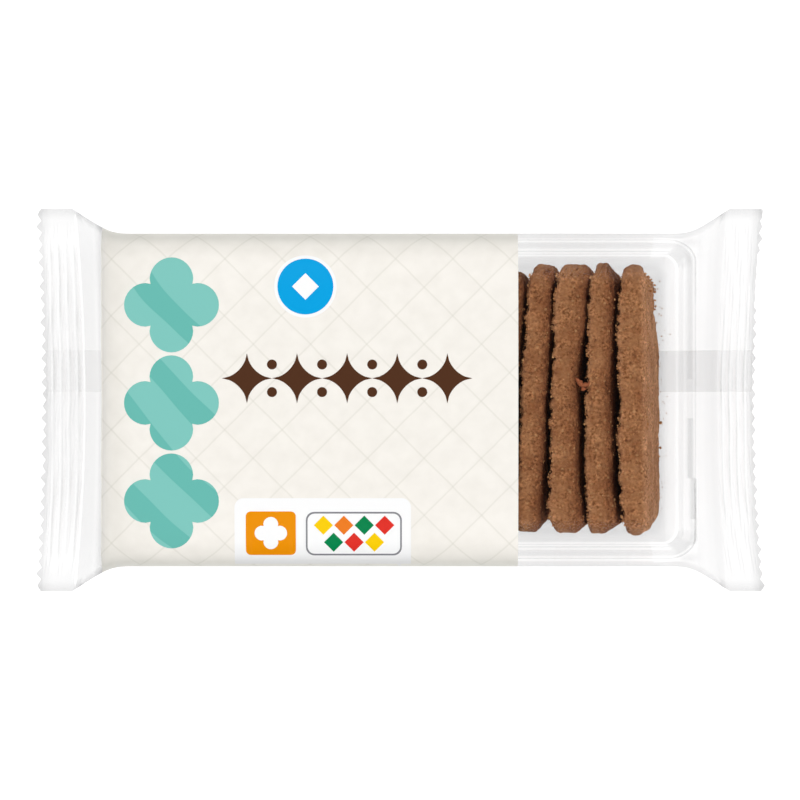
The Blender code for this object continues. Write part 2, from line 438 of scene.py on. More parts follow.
def biscuit_material():
    """Matt brown crumb, redder and darker towards its right face in painted shade, paler where
    it is chipped and in painted light, with pale grains, dark flecks and fine and coarse relief."""
    material, tree = new_material("biscuit")
    tone = add_noise(tree, 170, 9, 0.72)
    dark, light = (0.282, 0.103, 0.039, 1), (0.486, 0.229, 0.101, 1)
    colour = add_ramp(tree, tone[0], (0.3, dark), (0.7, light))
    for name, shade in (("baked", (0.66, 0.54, 0.50, 1)), ("floury", (1.48, 1.66, 1.98, 1))):
        colour = add_mix(tree, read_points(tree, name), colour, shade, "MULTIPLY")
    grain = add_noise(tree, 1600, 3)
    dark, light = (0.47, 0.41, 0.36, 1), (1.5, 1.5, 1.46, 1)
    grains = add_ramp(tree, grain[0], (0.37, dark), (0.63, light))
    patch = add_noise(tree, 420, 4, 0.7)
    patches = add_range(tree, patch[0], 0.4, 0.64, 0.15, 1.0)
    colour = add_mix(tree, patches, colour, grains, "MULTIPLY")
    shaky = {0: tone[1], 1: (0.0016, 0.0016, 0.0016), 2: object_place(tree)}
    shaky_place = add_node(tree, "VectorMath", shaky, operation="MULTIPLY_ADD")
    speck_inputs = {"Vector": shaky_place.outputs[0], "Scale": 620}
    speck = add_node(tree, "TexVoronoi", speck_inputs).outputs["Distance"]
    specks = add_range(tree, speck, 0.14, 0.28, 0.65, 0.0)
    specks_here = add_math(tree, "MULTIPLY", specks, patches)
    colour = add_mix(tree, specks_here, colour, (0.62, 0.34, 0.15, 1))
    fleck = add_noise(tree, 980, 2)
    flecks = add_range(tree, fleck[0], 0.62, 0.74, 0.0, 0.3)
    colour = add_mix(tree, flecks, colour, (0.17, 0.055, 0.024, 1))
    rough = add_noise(tree, 480, 6, 0.68)
    relief = add_math(tree, "SUBTRACT", rough[0], flecks)
    bump = add_node(tree, "Bump", {"Strength": 1.0, "Distance": 0.0016, "Height": relief})
    show(tree, add_surface(tree, colour, 0.9, 0.15, {"Normal": bump.outputs[0]}))
    return material


biscuit_crumb = biscuit_material()


def bake_biscuit(name, edges, voxel):
    """One biscuit: a moulded tablet set on edge, leaning, with its own uneven faces."""
    deselect_all()
    bpy.ops.mesh.primitive_plane_add(size=1, rotation=(0, math.pi / 2, 0))
    piece = bpy.context.object
    piece.name = name
    piece.scale = (BISCUIT_WIDTH, BISCUIT_LENGTH, 1)
    bpy.ops.object.transform_apply()
    edit_all()
    bpy.ops.mesh.bevel(offset=BISCUIT_CORNER, segments=5, affect="VERTICES")
    bpy.ops.mesh.extrude_region_move(TRANSFORM_OT_translate={"value": (BISCUIT_THICKNESS, 0, 0)})
    bpy.ops.mesh.select_all(action="SELECT")
    bpy.ops.mesh.normals_make_consistent(inside=False)
    end_edit()
    add_modifier(piece, "BEVEL", width=EDGE_ROUNDING, segments=2, limit_method="ANGLE")
    add_modifier(piece, "REMESH", mode="VOXEL", voxel_size=voxel)
    mesh = piece.data
    points = point_array(mesh)
    last = name in BROKEN_CORNERS
    across, left, right = np.array(edges).T * mm
    half = BISCUIT_LENGTH / 2
    y = mix(across[0], across[-1], (points[:, 1] + half) / (2 * half))
    up = points[:, 2] + BISCUIT_WIDTH / 2
    through = points[:, 0] / BISCUIT_THICKNESS
    steps = np.arange(across[0], across[-1] + CHIP_STEP, CHIP_STEP)
    chips = np.array([dice.triangular(-0.5, 0.5, 0) * CHIP_DEPTH for _ in steps])
    from_middle = np.abs(points[:, 1])
    at_end = share(from_middle, half - END_CALM, half)
    chipped = np.interp(y, steps, chips) * (1 - 0.7 * at_end)
    left = np.interp(y, across, left) + BAKED_IN + chipped
    right = np.interp(y, across, right) - BAKED_IN
    faces = mix(left, right, through)
    shoulder = share(through, 0.5, 1) ** 2 * up / BISCUIT_WIDTH
    lower_end = share(-points[:, 1], half - LOWER_END, half) ** 2.2
    upright = np.where(points[:, 1] < 0, 0.9 * lower_end, 0.6 * at_end)
    points[:, 0] = faces + (BISCUIT_WIDTH - up) * math.tan(LEAN) * (1 - upright)
    if last:
        break_y, break_x = np.array(BROKEN_CORNERS[name]).T * mm
        crumbled = np.sin(y / (0.37 * mm) + up / (0.9 * mm))
        crumbled += np.sin(y / (0.61 * mm) - up / (1.3 * mm))
        reach = np.interp(y, break_y, break_x) + 0.35 * mm * crumbled * share(y, 24 * mm, 28 * mm)
        points[:, 0] = np.minimum(points[:, 0], reach)
    near_end = share(from_middle, half - END_ROUNDING, half) ** 2
    uneven = 0.3 * mm * np.sin(7 * through + up / (4 * mm) + 2.3 * edges[0][1])
    full = (points[:, 1] < 0) & (through > 0.5)
    rounded_off = WORN_END * np.where(full, 0.1, 1) * np.abs(2 * through - 1) ** 4.5
    rounded_off += uneven
    points[:, 1] = y - np.sign(y) * near_end * rounded_off
    points[:, 2] = BISCUIT_FOOT + up * math.cos(LEAN) - WORN_SHOULDER * shoulder
    mesh.vertices.foreach_set("co", points.ravel())
    mesh.update()
    # Painted shade darkens each biscuit towards its right face; the last one is left out.
    baked = np.clip(1.7 * through - 0.75, 0, 1)
    # Paler chipped crumb along the upper left edge, partly painted light.
    floury = 0.4 * (1 - share(through, 0, 0.2)) * share(up, 36.5 * mm, 39.5 * mm)
    # Painted light, in patches, on the last biscuit's right face.
    patchy = 0.8 + 0.25 * np.sin(y / (2.1 * mm) + 2 * np.sin(up / (3.1 * mm)))
    on_face = patchy * np.clip(6 * through - 4.6, 0, 1)
    floury = np.maximum(floury, on_face if last else 0)
    paint_points(mesh, baked=baked * (0 if last else 1), floury=floury)
    for pattern, size, height in LUMPS:
        displace_by(piece, pattern, size * mm, height * mm)
    bpy.ops.object.shade_smooth()
    mesh.materials.append(biscuit_crumb)
    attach(piece, "root")
    return piece


shown_biscuits = [bake_biscuit(name, edges, VOXEL) for name, edges in BISCUIT_EDGES.items()]
for number in range(HIDDEN_BISCUITS):
    middle = FIRST_MIDDLE - (number + 1) * HIDDEN_PITCH / mm
    sway = 0.6 * math.sin(2.3 * number)
    edges = (
        (-32, middle - 3.6 - sway, middle + 3.4 - sway),
        (0, middle - 3.5, middle + 3.5),
        (32.3, middle - 3.3 + sway, middle + 3.7 + sway),
    )
    bake_biscuit(f"hidden_biscuit_{number + 1}", edges, HIDDEN_VOXEL)

# Crumbs. Grains cling to the biscuits, thickest along the broken edges of their
# upper sides, and a few lie on the tray's floor. All are one mesh.
GRAIN_SIZE = (0.10 * mm, 0.26 * mm)
RAGGED_SIZE = (0.14 * mm, 0.42 * mm)
GRAINS_EACH = 260
RAGGED_STEP = 0.45 * mm
LOOSE_GRAINS = 50
RIDGE_HEIGHT = 36.5 * mm
RIDGE_END = 1.5 * mm  # no ragged grains this near an end
# Large crumbs caught on the last biscuit's face: across, up and size (mm).
LARGE_CRUMBS = (
    (25.8, 17, 0.5), (26.6, 30, 0.5), (27.2, 16, 0.35), (28.0, 33, 0.45), (28.4, 18, 0.45),
    (28.9, 35, 0.4), (29.3, 20, 0.4), (29.8, 24, 0.4), (30.2, 33, 0.45), (30.6, 22, 0.4),
    (31.0, 34, 0.4), (31.4, 28, 0.35), (24.6, 17, 0.35), (23.2, 15, 0.4), (22.0, 14, 0.3),
    (19.6, 13, 0.3), (-5.2, 9, 0.5), (-12.0, 8, 0.45), (-14.5, 7, 0.35),
)


def join_copies(name, source, places):
    """One mesh of many copies of source, each at its place with its size and turn."""
    mesh = source.data
    points = point_array(mesh)
    faces = np.array([list(face.vertices) for face in mesh.polygons])
    all_points, all_faces = [], []
    for number, (spot, size, turn) in enumerate(places):
        turned = (points * size) @ np.array(mathutils.Euler(turn).to_matrix()).T
        all_points.append(turned + np.array(spot))
        all_faces.append(faces + number * len(points))
    joined = bpy.data.meshes.new(name)
    joined.from_pydata(np.concatenate(all_points), [], np.concatenate(all_faces).tolist())
    piece = bpy.data.objects.new(name, joined)
    scene.collection.objects.link(piece)
    bpy.data.objects.remove(source)
    return piece


def any_turn():
    return [dice.uniform(0, 2 * math.pi) for _ in range(3)]


def any_size(smallest, largest):
    size = mix(smallest, largest, dice.random() ** 2)
    return np.array([size, size * dice.uniform(0.6, 1), size * dice.uniform(0.45, 0.9)])


deselect_all()
bpy.ops.mesh.primitive_ico_sphere_add(subdivisions=1, radius=1)
grain_source = bpy.context.object
grain_places = []
for biscuit, edges in zip(shown_biscuits, BISCUIT_EDGES.values()):
    verts = biscuit.data.vertices
    count = 0
    while count < GRAINS_EACH:
        vert = verts[dice.randrange(len(verts))]
        if vert.co.z > 12 * mm or dice.random() < 0.2:
            grain_places.append((vert.co, any_size(*GRAIN_SIZE), any_turn()))
            count += 1
    points = point_array(biscuit.data)
    ridge = points[points[:, 2] > RIDGE_HEIGHT]
    for face in (-1, 1):
        y = edges[0][0] * mm + RIDGE_END
        while y < edges[-1][0] * mm - RIDGE_END:
            near = ridge[np.abs(ridge[:, 1] - y) < 0.5 * mm]
            spot = near[np.argmax(face * near[:, 0] + 0.25 * near[:, 2])]
            if face < 0 or dice.random() < (0.9 if biscuit is shown_biscuits[-1] else 0.3):
                drop = dice.uniform(0, 1.2) * mm
                spot = (spot[0] + face * 0.05 * mm, y, spot[2] - drop)
                grain_places.append((spot, any_size(*RAGGED_SIZE), any_turn()))
            y += RAGGED_STEP * dice.uniform(0.4, 1.6)
for _ in range(LOOSE_GRAINS):
    spot = (dice.gauss(64.2, 0.7) * mm, dice.uniform(-31, 31) * mm, 1.1 * mm)
    grain_places.append((spot, any_size(*GRAIN_SIZE), any_turn()))
points = point_array(shown_biscuits[-1].data)
for y, z, size in LARGE_CRUMBS:
    near = points[np.hypot(points[:, 1] - y * mm, points[:, 2] - z * mm) < 0.8 * mm]
    spot = near[np.argmax(near[:, 0])] + [0.7 * size * mm, 0, 0]
    grain_places.append((spot, any_size(size * mm, size * mm), any_turn()))
grains = join_copies("crumbs", grain_source, grain_places)
grain_material, tree = new_material("crumb_grain")
grain_tone = add_noise(tree, 700, 1)[0]
dark_grain, light_grain = (0.36, 0.15, 0.055, 1), (0.60, 0.32, 0.14, 1)
grain_colour = add_ramp(tree, grain_tone, (0.42, dark_grain), (0.66, light_grain))
show(tree, add_surface(tree, grain_colour, 0.85, 0.2))
grains.data.materials.append(grain_material)
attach(grains, "root")

# Flake. A reddish sliver broken off a biscuit, caught between two of them.
# Each row: a part's place, half sizes (mm) and turn.
FLAKE_PARTS = (
    ((43.0, 4.0, 40.3), (1.7, 0.6, 0.5), -52),
    ((44.6, 3.7, 40.5), (1.3, 0.55, 0.5), 20),
    ((43.9, 2.7, 39.9), (0.8, 0.6, 0.5), 0),
)
deselect_all()
for spot, size, turn in FLAKE_PARTS:
    bpy.ops.mesh.primitive_ico_sphere_add(
        subdivisions=3,
        radius=mm,
        location=np.array(spot) * mm,
        rotation=(0.2, 0.25, math.radians(turn)),
        scale=size,
    )
    bpy.context.object.name = "flake"
flake = bpy.context.object
for piece in bpy.data.objects:
    piece.select_set(piece.name.startswith("flake"))
bpy.ops.object.join()
bpy.ops.object.transform_apply()
flake.name = "flake"
add_modifier(flake, "REMESH", mode="VOXEL", voxel_size=0.12 * mm)
displace_by(flake, "flake_shape", 0.9 * mm, 0.9 * mm)
bpy.ops.object.shade_smooth()
flake_material, tree = new_material("flake")
show(tree, add_surface(tree, (0.30, 0.092, 0.038, 1), 0.85, 0.2))
flake.data.materials.append(flake_material)
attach(flake, "root")

# Film. One web of clear film, printed over most of its length, drawn round the
# tray, folded in at the sides of both ends and crimped flat between hot jaws.
PACK_LENGTH = 178 * mm
SEAL_WIDTH = 93 * mm
SEAL_LENGTH = 9.7 * mm
TOOTH_DEPTH = 1.3 * mm
TEETH = 32
SEAL_HEIGHT = 19.5 * mm
SHEET_GAP = 0.06 * mm  # half the gap between the two layers of a seal
SEAL_BOW = 2.4 * mm
LEFT_CUT_BOW = 1.4 * mm
SEAL_WAVE = 0.6 * mm
CRIMP_PITCH = 1.8 * mm
CRIMP_RELIEF = 0.32 * mm
RIM_HALF_LENGTH = 72.2 * mm
RIM_HALF_WIDTH = 40.1 * mm
RIM_HEIGHT = 33 * mm
CROWN_HEIGHT = 42.5 * mm
BASE_HALF_LENGTH = 64 * mm
BASE_HALF_WIDTH = 33.5 * mm
BASE_CORNER = 3 * mm
TUCK_DEPTH = 7 * mm
TUCK_START = 59 * mm
FLARE_SLOPE = 0.645
FLARE_START = 70.05 * mm
FLARE_SOFTNESS = 1.6 * mm
SEAL_END = PACK_LENGTH / 2 - TOOTH_DEPTH
SEAL_START = PACK_LENGTH / 2 - SEAL_LENGTH
CRIMP_START = SEAL_START + CRIMP_PITCH / 4
SLOPE_START = 72 * mm
FIN_LIFT = 0.3 * mm  # the back panel lies on its fin seal
PRINT_START = -72.35 * mm
PRINT_END = 28.1 * mm
WEB_SEAM = 7 * mm
LEVEL_HALF_WIDTH = 35 * mm  # the front panel turns down beyond this
# How grey painted shade makes the front film down the slope, at places along the pack (mm).
SLOPE_GREY = ((69, 0), (71.2, 0.02), (72.5, 0.07), (74, 0.09), (75.5, 0.16), (78.9, 0.18), (79.5, 0))
# And painted shade along the folds of the body: from the fold inwards (mm) and how grey.
FOLD_GREY = ((0, 0.17), (0.5, 0.2), (0.9, 0.25), (1.2, 0.25), (1.5, 0))
# How hard the jaws have pressed, at places across each end seal (mm).
LEFT_PRESSED = (
    (-40, 0), (-37, 0.9), (-20, 1), (-14, 0.3), (0, 0.4), (2, 0.9),
    (12, 0.9), (13, 0.4), (16, 0.3), (20, 0.9), (36, 1), (39.5, 0),
)
RIGHT_PRESSED = (
    (-31, 0), (-26, 0.8), (2, 1), (12, 0.8), (14, 0.5), (24, 0.45), (29, 0.1), (40, 0),
)
COLUMNS = 4 * TEETH + 1
SIDE_COLUMNS = 8


def eased(value, start, end):
    """The same share with a soft start and a soft end."""
    part = share(value, start, end)
    return part * part * (3 - 2 * part)


def top_half_width(along):
    flare = np.log1p(np.exp((along - FLARE_START) / FLARE_SOFTNESS))
    return np.minimum(RIM_HALF_WIDTH + FLARE_SLOPE * FLARE_SOFTNESS * flare, SEAL_WIDTH / 2)


def bottom_half_width(along):
    draft = RIM_HALF_WIDTH - BASE_HALF_WIDTH
    return top_half_width(along) - draft * (1 - eased(along, 58 * mm, SEAL_START))


def upper_fold_height(along):
    down = share(along, 62 * mm, SEAL_START) ** 1.15
    return mix(RIM_HEIGHT, SEAL_HEIGHT + SHEET_GAP, down)


def lower_fold_height(along):
    up = share(along, 58 * mm, SEAL_START) ** 1.2
    return mix(BASE_CORNER, SEAL_HEIGHT - SHEET_GAP, up)


def crimp_turn(x, along, y):
    """Where a point is in the jaws' pattern of long, slightly wavy ribs, in radians."""
    side = np.sign(x)
    sway = 0.7 * np.sin(y / (17 * mm) + 2 * side) + 0.35 * np.sin(y / (4.3 * mm))
    return 2 * math.pi * (along - CRIMP_START) / CRIMP_PITCH + sway - 2.4


def crimp_strength(x, along, y):
    """How hard the jaws have pressed: nothing in the folded corners, uneven between them."""
    pressed = share(along, CRIMP_START, CRIMP_START + 0.4 * mm)
    pressed *= 1 - share(along, SEAL_END - 1.3 * mm, SEAL_END - 0.8 * mm)
    left = np.interp(y / mm, *np.array(LEFT_PRESSED).T)
    right = np.interp(y / mm, *np.array(RIGHT_PRESSED).T)
    return pressed * np.where(x < 0, left, right)


def seal_lift(x, along, place):
    """The seal's slow wave, its crimps and the creases of the slope before it."""
    side = np.sign(x)
    y = place * SEAL_WIDTH / 2
    wave = SEAL_WAVE * eased(along, SLOPE_START, SEAL_END) * np.sin(4.2 * place + side)
    turn = crimp_turn(x, along, y)
    crimp = np.cos(turn) + 0.15 * np.cos(2.3 * turn + y / (2.6 * mm))
    crease_band = eased(along, 70 * mm, 74 * mm) * (1 - eased(along, 77 * mm, SEAL_START))
    creases = 0.14 * np.sin(along / (0.75 * mm) + 1.6 * np.sin(y / (12 * mm)) + side)
    creases *= 0.5 + 0.5 * np.sin(y / (8 * mm) + 2 * side)
    creases += 0.05 * np.sin(along / (0.4 * mm) + 2.2 * np.sin(y / (9 * mm) + side))
    relief = CRIMP_RELIEF * crimp_strength(x, along, y) * crimp
    return wave + relief + creases * mm * crease_band


def top_height(x, place):
    along = np.abs(x)
    turned = np.sqrt(1 - np.minimum(along / RIM_HALF_LENGTH, 1) ** 14)
    down = share(along, SLOPE_START, SEAL_START)
    crown = mix(mix(RIM_HEIGHT, CROWN_HEIGHT, turned), SEAL_HEIGHT + SHEET_GAP, down)
    rounded = np.sqrt(1 - np.minimum(np.abs(place), 1) ** 6)
    return mix(upper_fold_height(along), crown, rounded) + seal_lift(x, along, place)


def bottom_height(x, place):
    along = np.abs(x)
    half_width = bottom_half_width(along)
    up = share(along, BASE_HALF_LENGTH, SEAL_START) ** 1.25
    flat = mix(FIN_LIFT, SEAL_HEIGHT - SHEET_GAP, up)
    turned = share(np.abs(place) * half_width, half_width - BASE_CORNER, half_width)
    return mix(flat, lower_fold_height(along), 1 - np.sqrt(1 - turned**2)) + seal_lift(x, along, place)


def bowed(x, place):
    """The tray draws the middle of each seal inwards."""
    at_cut = np.where(x < 0, LEFT_CUT_BOW, SEAL_BOW)
    bow = mix(SEAL_BOW, at_cut, share(np.abs(x), SEAL_START, SEAL_END))
    bow = bow * share(np.abs(x), 69.5 * mm, SEAL_START)
    return x - np.sign(x) * bow * (1 - place**2)


def lay_web(mesh, x, y, z, across):
    """Puts the points in place and keeps where each lies on the flat web, for the print."""
    mesh.vertices.foreach_set("co", np.stack([x, y, z], axis=1).ravel())
    mesh.update()
    places = np.stack([x, across, 0 * x], axis=1)
    mesh.attributes.new("web", "FLOAT_VECTOR", "POINT").data.foreach_set("vector", places.ravel())


def film_grid(name, columns):
    """A grid with a row of points at every station, its points' places across it,
    0 to 1, and their stations."""
    deselect_all()
    bpy.ops.mesh.primitive_grid_add(x_subdivisions=columns, y_subdivisions=len(stations) - 1, size=1)
    piece = bpy.context.object
    piece.name = name
    grid = point_array(piece.data) + 0.5
    row = np.rint(grid[:, 1] * (len(stations) - 1)).astype(int)
    return piece, grid[:, 0], stations[row]


# Every line across the film, close together where it creases and crimps: from, to
# and step along each half (mm).
STATION_STEPS = ((1, 66, 2), (66, 72, 0.75), (72, 79.3, 0.3), (79.3, 87.9, 0.2))
half = np.concatenate([np.arange(*steps) for steps in STATION_STEPS]) * mm
half = np.append(half[half < SEAL_END - 0.05 * mm], SEAL_END)
stations = np.sort(np.concatenate([-half, half, [PRINT_END]]))
ring_length = 2 * COLUMNS + 2 * SIDE_COLUMNS
film, round_film, x = film_grid("film", ring_length)
column = np.rint(round_film * ring_length).astype(int) % ring_length
along = np.abs(x)
even = 2 * np.arange(COLUMNS) / (COLUMNS - 1) - 1
side_share = (np.arange(SIDE_COLUMNS) + 1) / (SIDE_COLUMNS + 1)
on_top = column < COLUMNS
on_bottom = (column >= COLUMNS + SIDE_COLUMNS) & (column < 2 * COLUMNS + SIDE_COLUMNS)
on_side = ~on_top & ~on_bottom
ring_place = np.concatenate([even, 1 + 0 * side_share, -even, -1 + 0 * side_share])
ring_down = np.concatenate([0 * even, side_share, 0 * even, 1 - side_share])
place = ring_place[column]
down = ring_down[column]
crowded = mix(place, np.sin(place * math.pi / 2), 0.8)
place = mix(crowded, place, eased(along, 66 * mm, SEAL_START))
tuck = TUCK_DEPTH * eased(along, TUCK_START, 74.5 * mm) * (1 - eased(along, 75.5 * mm, SEAL_START))
top_half, bottom_half = top_half_width(along), bottom_half_width(along)
upper_fold, lower_fold = upper_fold_height(along), lower_fold_height(along)
widths = mix(top_half, bottom_half, down)
side_y = np.sign(place) * (widths - tuck * (1 - np.abs(2 * down - 1)))
side_z = mix(upper_fold, lower_fold, down) + seal_lift(x, along, place)
y = np.where(on_top, top_half, bottom_half) * place
y = np.where(on_side, side_y, y)
z = np.where(on_top, top_height(x, place), bottom_height(x, place))
z = np.where(on_side, side_z, z)
tooth = np.rint((place + 1) / 2 * (COLUMNS - 1)).astype(int)
tooth_shape = np.array([0, 0.5, 1, 0.5])[tooth % 4]
tooth_depth = TOOTH_DEPTH * (0.8 + 0.2 * np.sin(2.4 * (tooth // 4) + np.sign(x)))
tooth_depth = np.where(x > 0, 0.75 * tooth_depth, tooth_depth)
tooth_shape = np.where((x > 0) & (tooth > 4 * TEETH - 3), 0.5, tooth_shape)
worn = (x > 0) & (place > 0.48) & (place < 0.78)
tooth_depth = np.where(worn, 0.25 * tooth_depth, tooth_depth)
at_cut = along > SEAL_END - 0.01 * mm
new_x = bowed(x, place) + np.where(at_cut, np.sign(x) * tooth_shape * tooth_depth, 0)
z = np.where(at_cut, SEAL_HEIGHT + seal_lift(x, along, place), z)
y = np.where(at_cut, place * SEAL_WIDTH / 2, y)

# How grey and how hazy the clear film looks, point by point: painted shade greys it
# along its folds, its cut edges, down its slopes, in the folded corners and in the
# crimps' grooves, and painted highlights lighten the ridges beside them. Distances are in mm.
far, aside = along / mm, np.abs(y) / mm
into_seal, to_cut = (along - SEAL_START) / mm, (SEAL_END - along) / mm
from_fold = np.where(on_side, 0, widths / mm - aside)
turn = crimp_turn(x, along, y)
pressed = crimp_strength(x, along, y)
past_rim = share(far, 66, 72)
in_seal = share(into_seal, -0.4, 0.4)
on_slope = on_top * past_rim * (1 - in_seal)
at_fold = 1 - share(from_fold, 0, 2.6)
beside = share(aside, 26, 36) * (1 - 0.7 * share(far, 73, 76))
off_tray = share(far, 64.5, 68) * (1 - share(far, 69.5, 73))
off_tray *= share(aside, 36, 38) * (1 - 0.8 * share(aside, 38.3, 39.5))
corner = share(far, 77.2, 78) * (1 - in_seal) * (1 - share(from_fold, 0.9, 2.2))
each_rib = np.floor(turn / (2 * math.pi) + 0.5)
own = 0.5 + 0.5 * np.sin(2.1 * each_rib + y / (8 * mm) + np.sin(y / (3.3 * mm)))
groove = pressed * mix(0.35, 1, own) * share(np.cos(turn), np.where(x < 0, 0.5, 0.72), 1)
fine_turn = 2.3 * turn + 1.4 * np.sin(y / (3.1 * mm)) + y / (2.9 * mm)
fine = in_seal * (1 - 0.6 * pressed) * share(from_fold, 3, 6) * share(np.cos(fine_turn), 0.4, 1)
# Each row: how grey at the printed end and at the clear end, and where; the first row is the film's
# own faint tint, the rest painted shade.
GREYS = (
    (0.02, 0.02, 1),
    (1, 1, np.interp(far, *np.array(SLOPE_GREY).T) * np.where(on_top, 1, -0.1)),
    (1, 1, np.interp(from_fold, *np.array(FOLD_GREY).T) * on_top * (1 - past_rim)),
    (0.36, 0, on_top * (1 - share(far, 72.5, 74.5))),
    (0.11, 0.05, on_slope),
    (0.05, 0.09, on_slope * beside),
    (0.06, 0.03, on_slope * at_fold),
    (0, 0.05, on_slope * share(far, 76, 77.5)),
    (0, 0.25, on_top * off_tray),
    (0.26, 0.26, corner),
    (0.03, 0.07, in_seal),
    (0.08, 0, in_seal * (1 - place**2) ** 2),
    (0.17, 0.17, in_seal * at_fold),
    (0.07, 0.02, in_seal * share(aside, 39, 43)),
    (0.11, 0.15, 1 - share(to_cut, 0.4, 2.4)),
    (0.08, 0.08, 1 - share(to_cut, 0.1, 0.5)),
    (0.18, 0.24, groove),
    (0.1, 0.1, fine * share(np.sin(y / (2.3 * mm) + 0.6 * turn), -0.3, 0.5)),
)
grey = sum(np.where(x < 0, printed_end, clear_end) * where for printed_end, clear_end, where in GREYS)
# Painted highlights: the crimps' ridges and a line along the left seal's inner edge are lighter.
ridge = pressed * share(np.cos(turn - 1.5), 0.6, 1)
ridge = np.maximum(ridge, fine * share(np.cos(fine_turn - 1.7), 0.5, 1))
inner_line = (x < 0) * share(into_seal, -0.25, 0) * (1 - share(into_seal, 0.1, 0.4))
inner_line *= share(SEAL_WIDTH / 2 / mm - aside, 1.2, 2)
grey *= 1 - np.maximum(inner_line, 0.8 * ridge)
haze = 0.06 * in_seal * share(to_cut, 0, 2.4) * (1 - inner_line)
under = on_bottom & (along > BASE_HALF_LENGTH) & (along < SEAL_START + 0.1 * mm)
folded_in = under | (on_side & (along > TUCK_START))
# Where each point lies on the flat web: along it, and round the pack from the
# middle of the front. The web's two edges meet under the fin seal.
side_length = np.hypot(top_half - bottom_half, upper_fold - lower_fold)
level_end = top_height(x, LEVEL_HALF_WIDTH / top_half)
turned_down = np.hypot(top_half - LEVEL_HALF_WIDTH, level_end - upper_fold)
half_girth = LEVEL_HALF_WIDTH + turned_down + side_length * down
seam_girth = half_girth + bottom_half + 0.6 * (lower_fold - z)
from_middle = np.where(on_bottom, seam_girth - np.abs(y), half_girth)
past_level = np.maximum(np.abs(y) - LEVEL_HALF_WIDTH, 0)
on_shoulder = LEVEL_HALF_WIDTH + np.hypot(past_level, level_end - z)
from_middle = np.where(on_top, np.where(past_level > 0, on_shoulder, np.abs(y)), from_middle)
past_seam = on_bottom & (y >= 0) & (y < WEB_SEAM)
from_middle = np.where(past_seam, seam_girth + y, from_middle)
web_side = np.where(past_seam | (place < 0), -1, 1)
lay_web(film.data, new_x, y, z, web_side * from_middle)
# How dark painted shade makes the print: from the folds and from its left end inwards (mm).
FOLD_SHADE = ((0, 0.9), (1.3, 0.78), (2.3, 0.44), (3.2, 0.22), (4.2, 0.16), (6, 0))
START_SHADE = ((-1, 0), (0, 0.5), (1, 0.3), (2, 0.24), (5, 0.16), (8, 0.09), (13, 0))
edge = np.interp(from_fold, *np.array(FOLD_SHADE).T)
edge += np.interp((x - PRINT_START) / mm, *np.array(START_SHADE).T)
paint_points(film.data, grey=grey * ~on_side, haze=haze * ~on_side)
paint_points(film.data, edge=np.clip(edge, 0, 1), folded_in=folded_in.astype(float))
edit_all()
bpy.ops.mesh.remove_doubles(threshold=0.005 * mm)
bpy.ops.mesh.normals_make_consistent(inside=False)
bpy.ops.mesh.select_all(action="SELECT")
bpy.ops.mesh.bisect(plane_co=(PRINT_START, 0, 0), plane_no=(1, 0, 0))
end_edit()
bpy.ops.object.shade_smooth_by_angle(angle=math.radians(50))

film_clear = clear_plastic("film_clear", (0.995,) * 3, (0.5, 0.5, 0.505), 0.06, 0.16, 0.2)
# The folded-in film takes a clearer, less glossy copy of the clear film: painted light that lifts the
# shade where it tucks in.
film_fold = clear_plastic("film_fold", (1.0,) * 3, (0.9, 0.9, 0.9), 0.02, 0.2, 0.02)
film_print = new_material("film_print")[0]
for material in (film_clear, film_print, film_fold):
    film.data.materials.append(material)
folded_in = np.empty(len(film.data.vertices))
film.data.attributes["folded_in"].data.foreach_get("value", folded_in)
for face in film.data.polygons:
    if min(folded_in[vert] for vert in face.vertices) > 0:
        face.material_index = 2


def print_over(piece):
    """Gives the faces between the print's ends the print, the piece's second material."""
    for face in piece.data.polygons:
        if PRINT_START < face.center.x < PRINT_END:
            face.material_index = 1


print_over(film)
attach(film, "root")
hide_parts("film_pack")

# Fin seal. The web's two edges, sealed face to face along the back and folded
# flat against it, so that a strip of extra film runs under the whole pack.
FIN_FROM = 2.0 * mm
FIN_TO = 12.1 * mm
FIN_GAP = 0.05 * mm
FIN_THICKNESS = 0.18 * mm
FIN_COLUMNS = 14
fin, across_fin, x = film_grid("fin_seal", FIN_COLUMNS)
y = mix(FIN_FROM, FIN_TO, across_fin)
place = y / bottom_half_width(np.abs(x))
z = bottom_height(x, place) - FIN_GAP
lay_web(fin.data, bowed(x, place), y, z, y - 150 * mm)
fin_grey = np.interp(x / mm, (-1, 0, 78, 80), (0.005, 0.1, 0.12, 0.07))
paint_points(fin.data, grey=fin_grey, haze=np.full(len(x), 0.02))
edit_all()
bpy.ops.mesh.flip_normals()
bpy.ops.mesh.bisect(plane_co=(PRINT_START, 0, 0), plane_no=(1, 0, 0))
end_edit()
add_modifier(fin, "SOLIDIFY", thickness=-FIN_THICKNESS, offset=-1)
edit_all()
bpy.ops.mesh.normals_make_consistent(inside=False)
end_edit()
bpy.ops.object.shade_smooth_by_angle(angle=math.radians(40))
fin_clear = clear_plastic("fin_clear", (0.997,) * 3, (0.6, 0.6, 0.61), 0.05, 0.2, 0.1)
fin.data.materials.append(fin_clear)
fin.data.materials.append(film_print)
print_over(fin)
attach(fin, "root")

